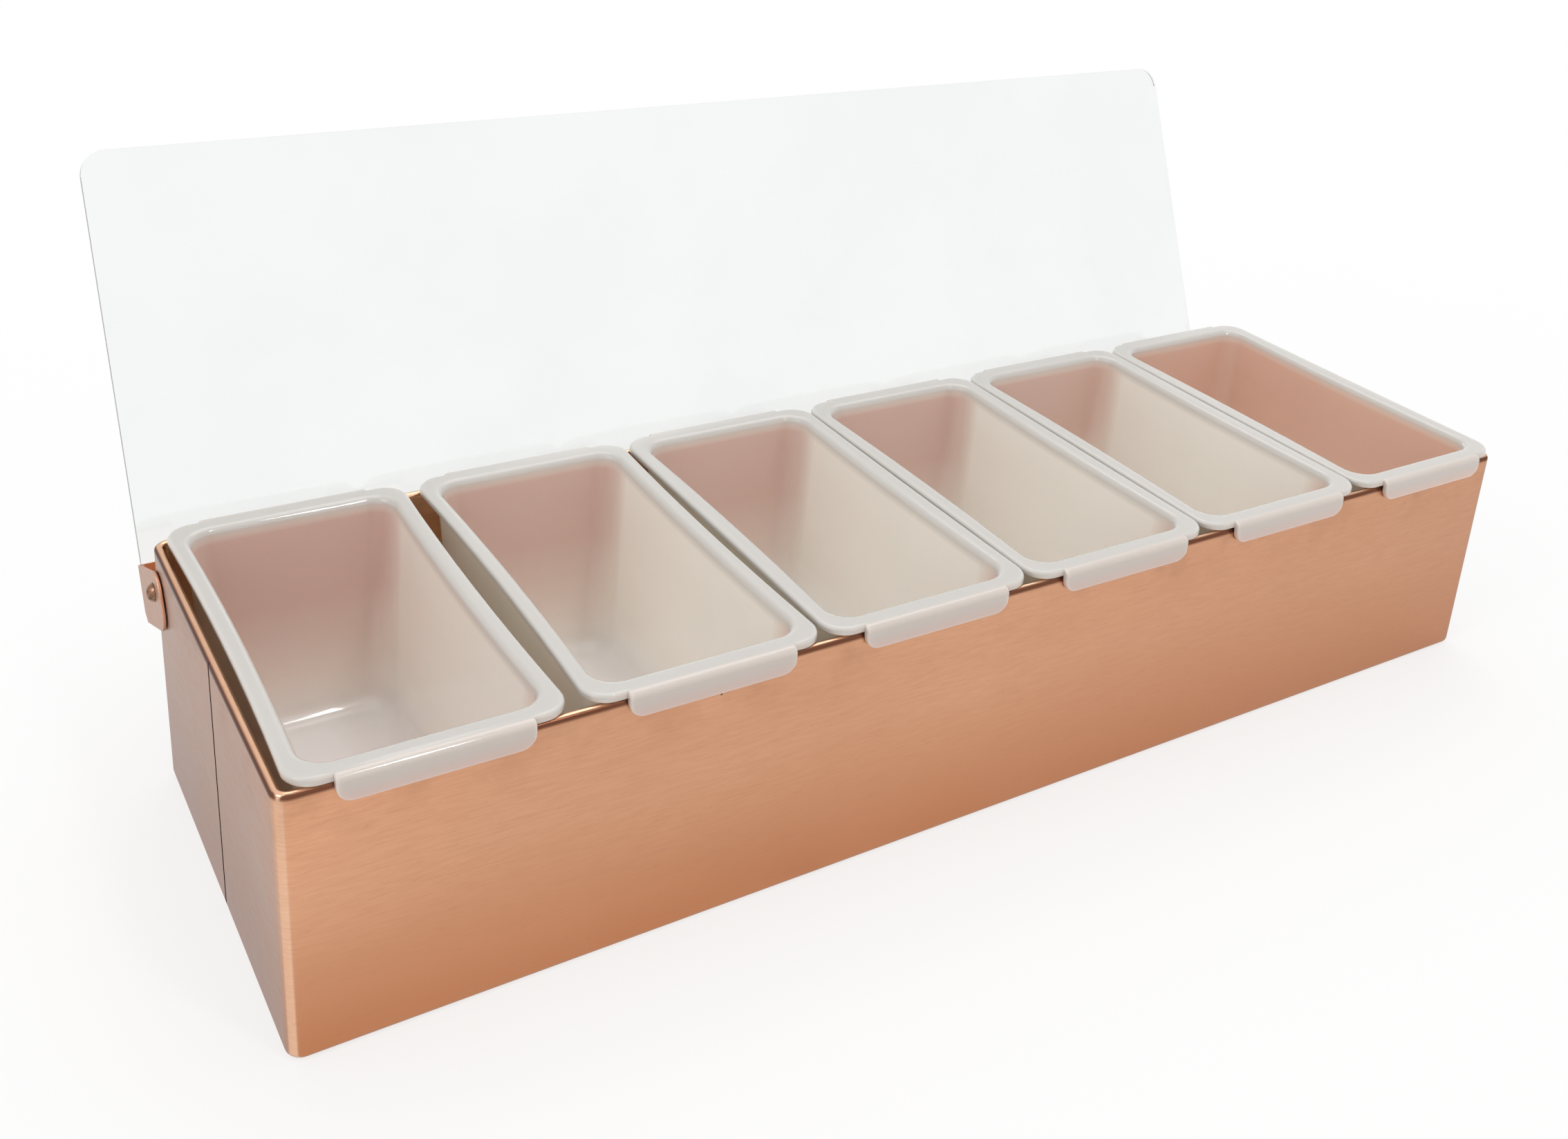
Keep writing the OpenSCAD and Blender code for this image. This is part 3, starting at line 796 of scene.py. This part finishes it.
def quarterTurn(steps, first=0):
    return [k * math.pi / (2 * steps) for k in range(first, steps + 1)]


def lipStations():
    s = lipSizes
    straight = s["width"] / 2 - s["corner"]
    end = s["width"] / 2 - s["round"]
    stations = [straight * k / 8 for k in range(9)]
    stations += [straight + (end - straight) * math.sin(a) for a in quarterTurn(12, 1)[:-1]]
    stations += [end + s["round"] * math.sin(a) for a in quarterTurn(6)]
    return [-x for x in reversed(stations) if x > 0] + stations


# a lip's outline in depth and height at one place along it
def lipOutline(x, rimTop):
    s = lipSizes
    halfWide = s["width"] / 2
    top = rimTop - s["drop"]
    under = rimTop - panSizes["Rim Thickness"] + s["lap"]
    past = max(0.0, abs(x) - (halfWide - s["corner"]))
    over = max(0.0, abs(x) - (halfWide - s["round"]))
    inset = s["round"] - math.sqrt(max(0.0, s["round"] ** 2 - over ** 2))
    floor = rimTop - s["height"] + s["corner"] - math.sqrt(max(0.0, s["corner"] ** 2 - past ** 2))
    shoulder = top - s["thickness"]
    roll = s["thickness"] - inset
    toe = max(s["least"], s["toe"] - inset * 0.5)
    heel = s["heel"]
    floor = min(floor + inset * 0.5, shoulder - toe - s["least"])
    points = [(s["root"], top - inset), (0.0, top - inset)]
    points += [(-roll * math.sin(a), shoulder + roll * math.cos(a)) for a in quarterTurn(10, 1)]
    points += [(-roll + toe - toe * math.cos(a), floor + toe - toe * math.sin(a)) for a in quarterTurn(6)]
    points += [(-heel + heel * math.sin(a), floor + heel - heel * math.cos(a)) for a in quarterTurn(4)]
    return points + [(0.0, under), (s["root"], under)]


def makeLip(rimTop, edgeY):
    work = bmesh.new()
    rows = [[work.verts.new((x, edgeY + y, z)) for y, z in lipOutline(x, rimTop)] for x in lipStations()]
    for first, second in zip(rows, rows[1:]):
        for k in range(len(first)):
            n = (k + 1) % len(first)
            work.faces.new((first[k], first[n], second[n], second[k]))
    work.faces.new(rows[0])
    work.faces.new(list(reversed(rows[-1])))
    bmesh.ops.recalc_face_normals(work, faces=work.faces)
    mesh = bpy.data.meshes.new("lip")
    work.to_mesh(mesh)
    work.free()
    return mesh


def placeMesh(mesh, turn, shift):
    matrix = Euler(turn).to_matrix()
    for vertex in mesh.vertices:
        vertex.co = matrix @ vertex.co + Vector(shift)
    return mesh


def makePan(rimBow):
    mesh = cleanMesh(runTree("pan", panTree, {"Material": milky, **panSizes, "Rim Bow": rimBow}))
    frontLip = makeLip(panSizes["Rim Top"], -panSizes["Rim Length"] / 2)
    backLip = frontLip.copy()
    for vertex in backLip.vertices:
        vertex.co.x *= -1
        vertex.co.y *= -1
    for lip in (frontLip, backLip):
        mesh = boolean(mesh, lip, "UNION", "pan")
    return cleanMesh(mesh, panCrease)


panTree = makePanTree()
loosePan = makePan(panSizes["Rim Bow"])
closePan = makePan(closeRimBow)
for i, x in enumerate(panRow["centres"]):
    name = "milkyPan" + str(i + 1)
    panMesh = (loosePan if i < panRow["loose"] else closePan).copy()
    placeMesh(panMesh, (0, 0, 0), (x, panRow["y"], 0))
    addPiece(name, panMesh, "pan_%d_body" % (i + 1), "pan_%d" % (i + 1), milky)
print("pans made:", len(loosePan.polygons), "faces each")


# a row of rivets: a domed head, a shank and a smaller head or tail on its far side
rivetSizes = {
    "Spacing": 0.126, "Head Radius": 0.0034, "Head Height": 0.0013,
    "Shank Radius": 0.0016, "Grip": 0.0038, "Tail Radius": 0.0034, "Tail Height": 0.0013,
}


def makeRivetTree():
    inputs = floatInputs(rivetSizes) + [
        ("Count", "Int", 4), ("Facing Away", "Bool", False), ("Material", "Material", None)]
    tree, given, result = newTree("rivetRow", "GeometryNodeTree", inputs, [("Rivets", "Geometry")])

    def disc(radius):
        return combine(tree, radius, radius, radius)

    def dome(radius, height, base, side):
        square = calc(tree, "ADD", product(tree, radius, radius), product(tree, height, height))
        ball = calc(tree, "DIVIDE", square, calc(tree, "MULTIPLY", height, 2.0))
        start = calc(tree, "ARCSINE", calc(tree, "DIVIDE", calc(tree, "SUBTRACT", ball, height), ball))
        centre = calc(tree, "MULTIPLY_ADD", calc(tree, "SUBTRACT", height, ball), side, base)
        low, high = [calc(tree, "MULTIPLY", angle, side) for angle in (start, math.pi / 2)]
        pole = (0, 0, 0)
        return (pole, centre, ball, low, pole, centre, ball, high, 8)

    bottom = calc(tree, "MULTIPLY", given["Grip"], -1.0)
    shank = disc(given["Shank Radius"])
    strips = [
        dome(given["Head Radius"], given["Head Height"], 0.0, 1.0),
        (disc(given["Head Radius"]), 0.0, 0.0, 0.0, shank, 0.0, 0.0, 0.0, 1),
        (shank, 0.0, 0.0, 0.0, shank, bottom, 0.0, 0.0, 1),
        (shank, bottom, 0.0, 0.0, disc(given["Tail Radius"]), bottom, 0.0, 0.0, 1),
        dome(given["Tail Radius"], given["Tail Height"], bottom, -1.0),
    ]
    rivet = joinStrips(tree, strips, cornerSteps=7)
    gaps = calc(tree, "SUBTRACT", given["Count"], 1)
    line = addNode(tree, "GeometryNodeMeshLine", {
        "Count": given["Count"],
        "Start Location": combine(tree, product(tree, gaps, given["Spacing"], -0.5)),
        "Offset": combine(tree, given["Spacing"])})
    outward = product(tree, calc(tree, "SIGN", pointPlace(tree)["X"]), math.pi / 2)
    turn = addNode(tree, "GeometryNodeSwitch", {
        "Switch": given["Facing Away"], "False": (-math.pi / 2, 0.0, 0.0),
        "True": combine(tree, 0.0, outward)}, input_type="VECTOR")
    row = addNode(tree, "GeometryNodeInstanceOnPoints", {
        "Points": line.outputs[0], "Instance": rivet, "Rotation": turn.outputs[0]})
    endTree(tree, row.outputs[0], given["Material"], result["Rivets"])
    return tree


# the lid and its rail swing on the rivets through the ears; the open lid leans back
hinge = {
    "y": 0.070, "z": 0.0735,
    "lean": 23,  # degrees
    "rail": 0.001, "lid": 0.0028,  # thicknesses
    "reach": 0.028,  # from the pivot's axis back to the rail's face, on which the lid lies
    "rivetDrop": 0.003,  # from the axis down to the rivets' row, before the lean
}
lidRivets = {**rivetSizes, "Grip": hinge["rail"] + hinge["lid"], "Count": 4}
pivotRivets = {
    "Spacing": 0.4981, "Head Radius": 0.0033, "Head Height": 0.0023, "Shank Radius": 0.002,
    "Grip": 0.0032, "Tail Radius": 0.0028, "Tail Height": 0.0009, "Count": 2, "Facing Away": True,
}
rivetTree = makeRivetTree()


def makeRivets(name, sizes):
    return cleanMesh(runTree(name, rivetTree, {"Material": rivetMetal, **sizes}))


lidRivetMesh = makeRivets("lidRivets", lidRivets)
placeMesh(lidRivetMesh, (0, 0, 0), (0, hinge["reach"] + hinge["lid"], -hinge["rivetDrop"]))
placeMesh(lidRivetMesh, (-math.radians(hinge["lean"]), 0, 0), (0, hinge["y"], hinge["z"]))
addPiece("lidRivets", lidRivetMesh, "lid", "lid_rivets")
pivotMesh = placeMesh(makeRivets("pivotRivets", pivotRivets), (0, 0, 0), (0, hinge["y"], hinge["z"]))
addPiece("pivotRivets", pivotMesh, "box", "pivot_rivets")

easing = {
    "lid": 0.0003, "rail": 0.00015, "segments": 2,
    "flat": 1, "sharper": 40,  # degrees: faces below become one, edges above are eased
    "broad": 0.002,  # faces broader than this stay flat
}


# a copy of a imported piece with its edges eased
def easedCopy(node, name, width, material):
    mesh = nodes[node].data.copy()
    work = bmesh.new()
    work.from_mesh(mesh)
    bmesh.ops.remove_doubles(work, verts=work.verts, dist=tie / 2)
    flat = math.radians(easing["flat"])
    bmesh.ops.dissolve_limit(work, angle_limit=flat, verts=work.verts, edges=work.edges)
    work.to_mesh(mesh)
    work.free()
    holder = bpy.data.objects.new(name, mesh)
    scene.collection.objects.link(holder)
    bevel = holder.modifiers.new("ease", "BEVEL")
    bevel.width = width
    bevel.segments = easing["segments"]
    bevel.limit_method = "ANGLE"
    bevel.angle_limit = math.radians(easing["sharper"])
    eased = bakeObject(holder, name)
    eased.materials.clear()
    eased.materials.append(material)
    return cleanMesh(eased, broad=easing["broad"])


lidMesh = easedCopy("lid_panel", "lidPanel", easing["lid"], acrylic)
addPiece("lidPanel", lidMesh, "lid", "lid_panel")
railMesh = easedCopy("hinge_rail", "hingeRail", easing["rail"], copper)
addPiece("hingeRail", railMesh, "lid", "hinge_rail")
for name, material in (("base_plate", copperFlat), ("pivot_washers", copper)):
    nodes[name].data.materials.clear()
    nodes[name].data.materials.append(material)
print("lid, rail and rivets made")


# studio: a pale floor under a white world, one broad lamp overhead and small bright ones
studio = {
    "world": 0.8,
    "floor": linear(0.93, 0.93, 0.93),
    "floorSize": 6,
    "floorZ": -0.0003,
    "floorRoughness": 0.7,
    "floorGloss": 0.2,
    "nearWhite": 0.7,  # how white the floor shows beside the box
    "fade": (0.03, 0.6),  # distances from the box over which it turns plain white
    "target": (0, 0, 0.05),
    "lamps": (  # name, place, width, height, power
        ("overhead", (0.35, 0.45, 1.5), 1.2, 1.2, 6.0),
        ("left", (-1.3, -0.3, 1.1), 0.6, 0.6, 3.5),
        ("window", (0.15, -0.85, 1.25), 0.08, 0.5, 2.4),
        ("small", (-0.62, -0.17, 1.29), 0.06, 0.06, 0.5),
        ("behind", (0.45, 1.25, 0.45), 0.15, 0.15, 0.7),
    ),
}


def seenDirectly(tree):
    path = addNode(tree, "ShaderNodeLightPath").outputs
    inGlass = calc(tree, "MAXIMUM", path["Is Glossy Ray"], path["Is Transmission Ray"])
    return calc(tree, "MAXIMUM", path["Is Camera Ray"], inGlass)


def makeWorld():
    world = bpy.data.worlds.new("studio")
    scene.world = world
    world.use_nodes = True
    tree = world.node_tree
    tree.nodes.clear()
    strength = remap(tree, seenDirectly(tree), 0.0, 1.0, studio["world"], 1.0)
    sky = addNode(tree, "ShaderNodeBackground", {"Color": (1, 1, 1, 1), "Strength": strength})
    addNode(tree, "ShaderNodeOutputWorld", {"Surface": sky.outputs[0]})


# the floor turns plain white away from the box, and keeps its own shade beside it
def makeFloor():
    bpy.ops.mesh.primitive_plane_add(size=studio["floorSize"], location=(0, 0, studio["floorZ"]))
    floor = bpy.context.object
    floor.name = "floor"
    material, tree, shader, output = newMaterial("paleFloor")
    shader.inputs["Base Color"].default_value = studio["floor"]
    shader.inputs["Roughness"].default_value = studio["floorRoughness"]
    shader.inputs["Specular IOR Level"].default_value = studio["floorGloss"]
    apart = vectorCalc(tree, "ABSOLUTE", objectPlace(tree))
    apart = vectorCalc(tree, "MAXIMUM", vectorCalc(tree, "SUBTRACT", apart, (*boxFace, 0)), (0, 0, 0))
    apart = addNode(tree, "ShaderNodeVectorMath", {0: apart}, operation="LENGTH").outputs["Value"]
    white = addNode(tree, "ShaderNodeMapRange", {
        "Value": apart, "From Min": studio["fade"][0], "From Max": studio["fade"][1],
        "To Min": studio["nearWhite"], "To Max": 1.0}, interpolation_type="SMOOTHSTEP").outputs["Result"]
    glow = addNode(tree, "ShaderNodeEmission", {"Color": (1, 1, 1, 1), "Strength": 1.0})
    share = calc(tree, "MULTIPLY", seenDirectly(tree), white)
    mixed = addNode(tree, "ShaderNodeMixShader", {0: share, 1: shader.outputs[0], 2: glow.outputs[0]})
    wire(tree, mixed.outputs[0], output.inputs["Surface"])
    floor.data.materials.append(material)


# the small lamps leave the clear lid out, where they would stand as bright bars
def makeLamps():
    aside = bpy.data.collections.new("lidKeptDark")
    aside.objects.link(bpy.data.objects["lidPanel"])
    aside.collection_objects[0].light_linking.link_state = "EXCLUDE"
    for name, place, wide, high, power in studio["lamps"]:
        lamp = bpy.data.lights.new(name, "AREA")
        lamp.shape = "RECTANGLE"
        lamp.size = wide
        lamp.size_y = high
        lamp.energy = power
        holder = bpy.data.objects.new(name, lamp)
        holder.location = place
        towards = Vector(studio["target"]) - Vector(place)
        holder.rotation_euler = towards.to_track_quat("-Z", "Y").to_euler()
        scene.collection.objects.link(holder)
        if name != "overhead":
            holder.light_linking.receiver_collection = aside


makeWorld()
makeFloor()
makeLamps()
scene.view_settings.view_transform = "Standard"
print("studio set")
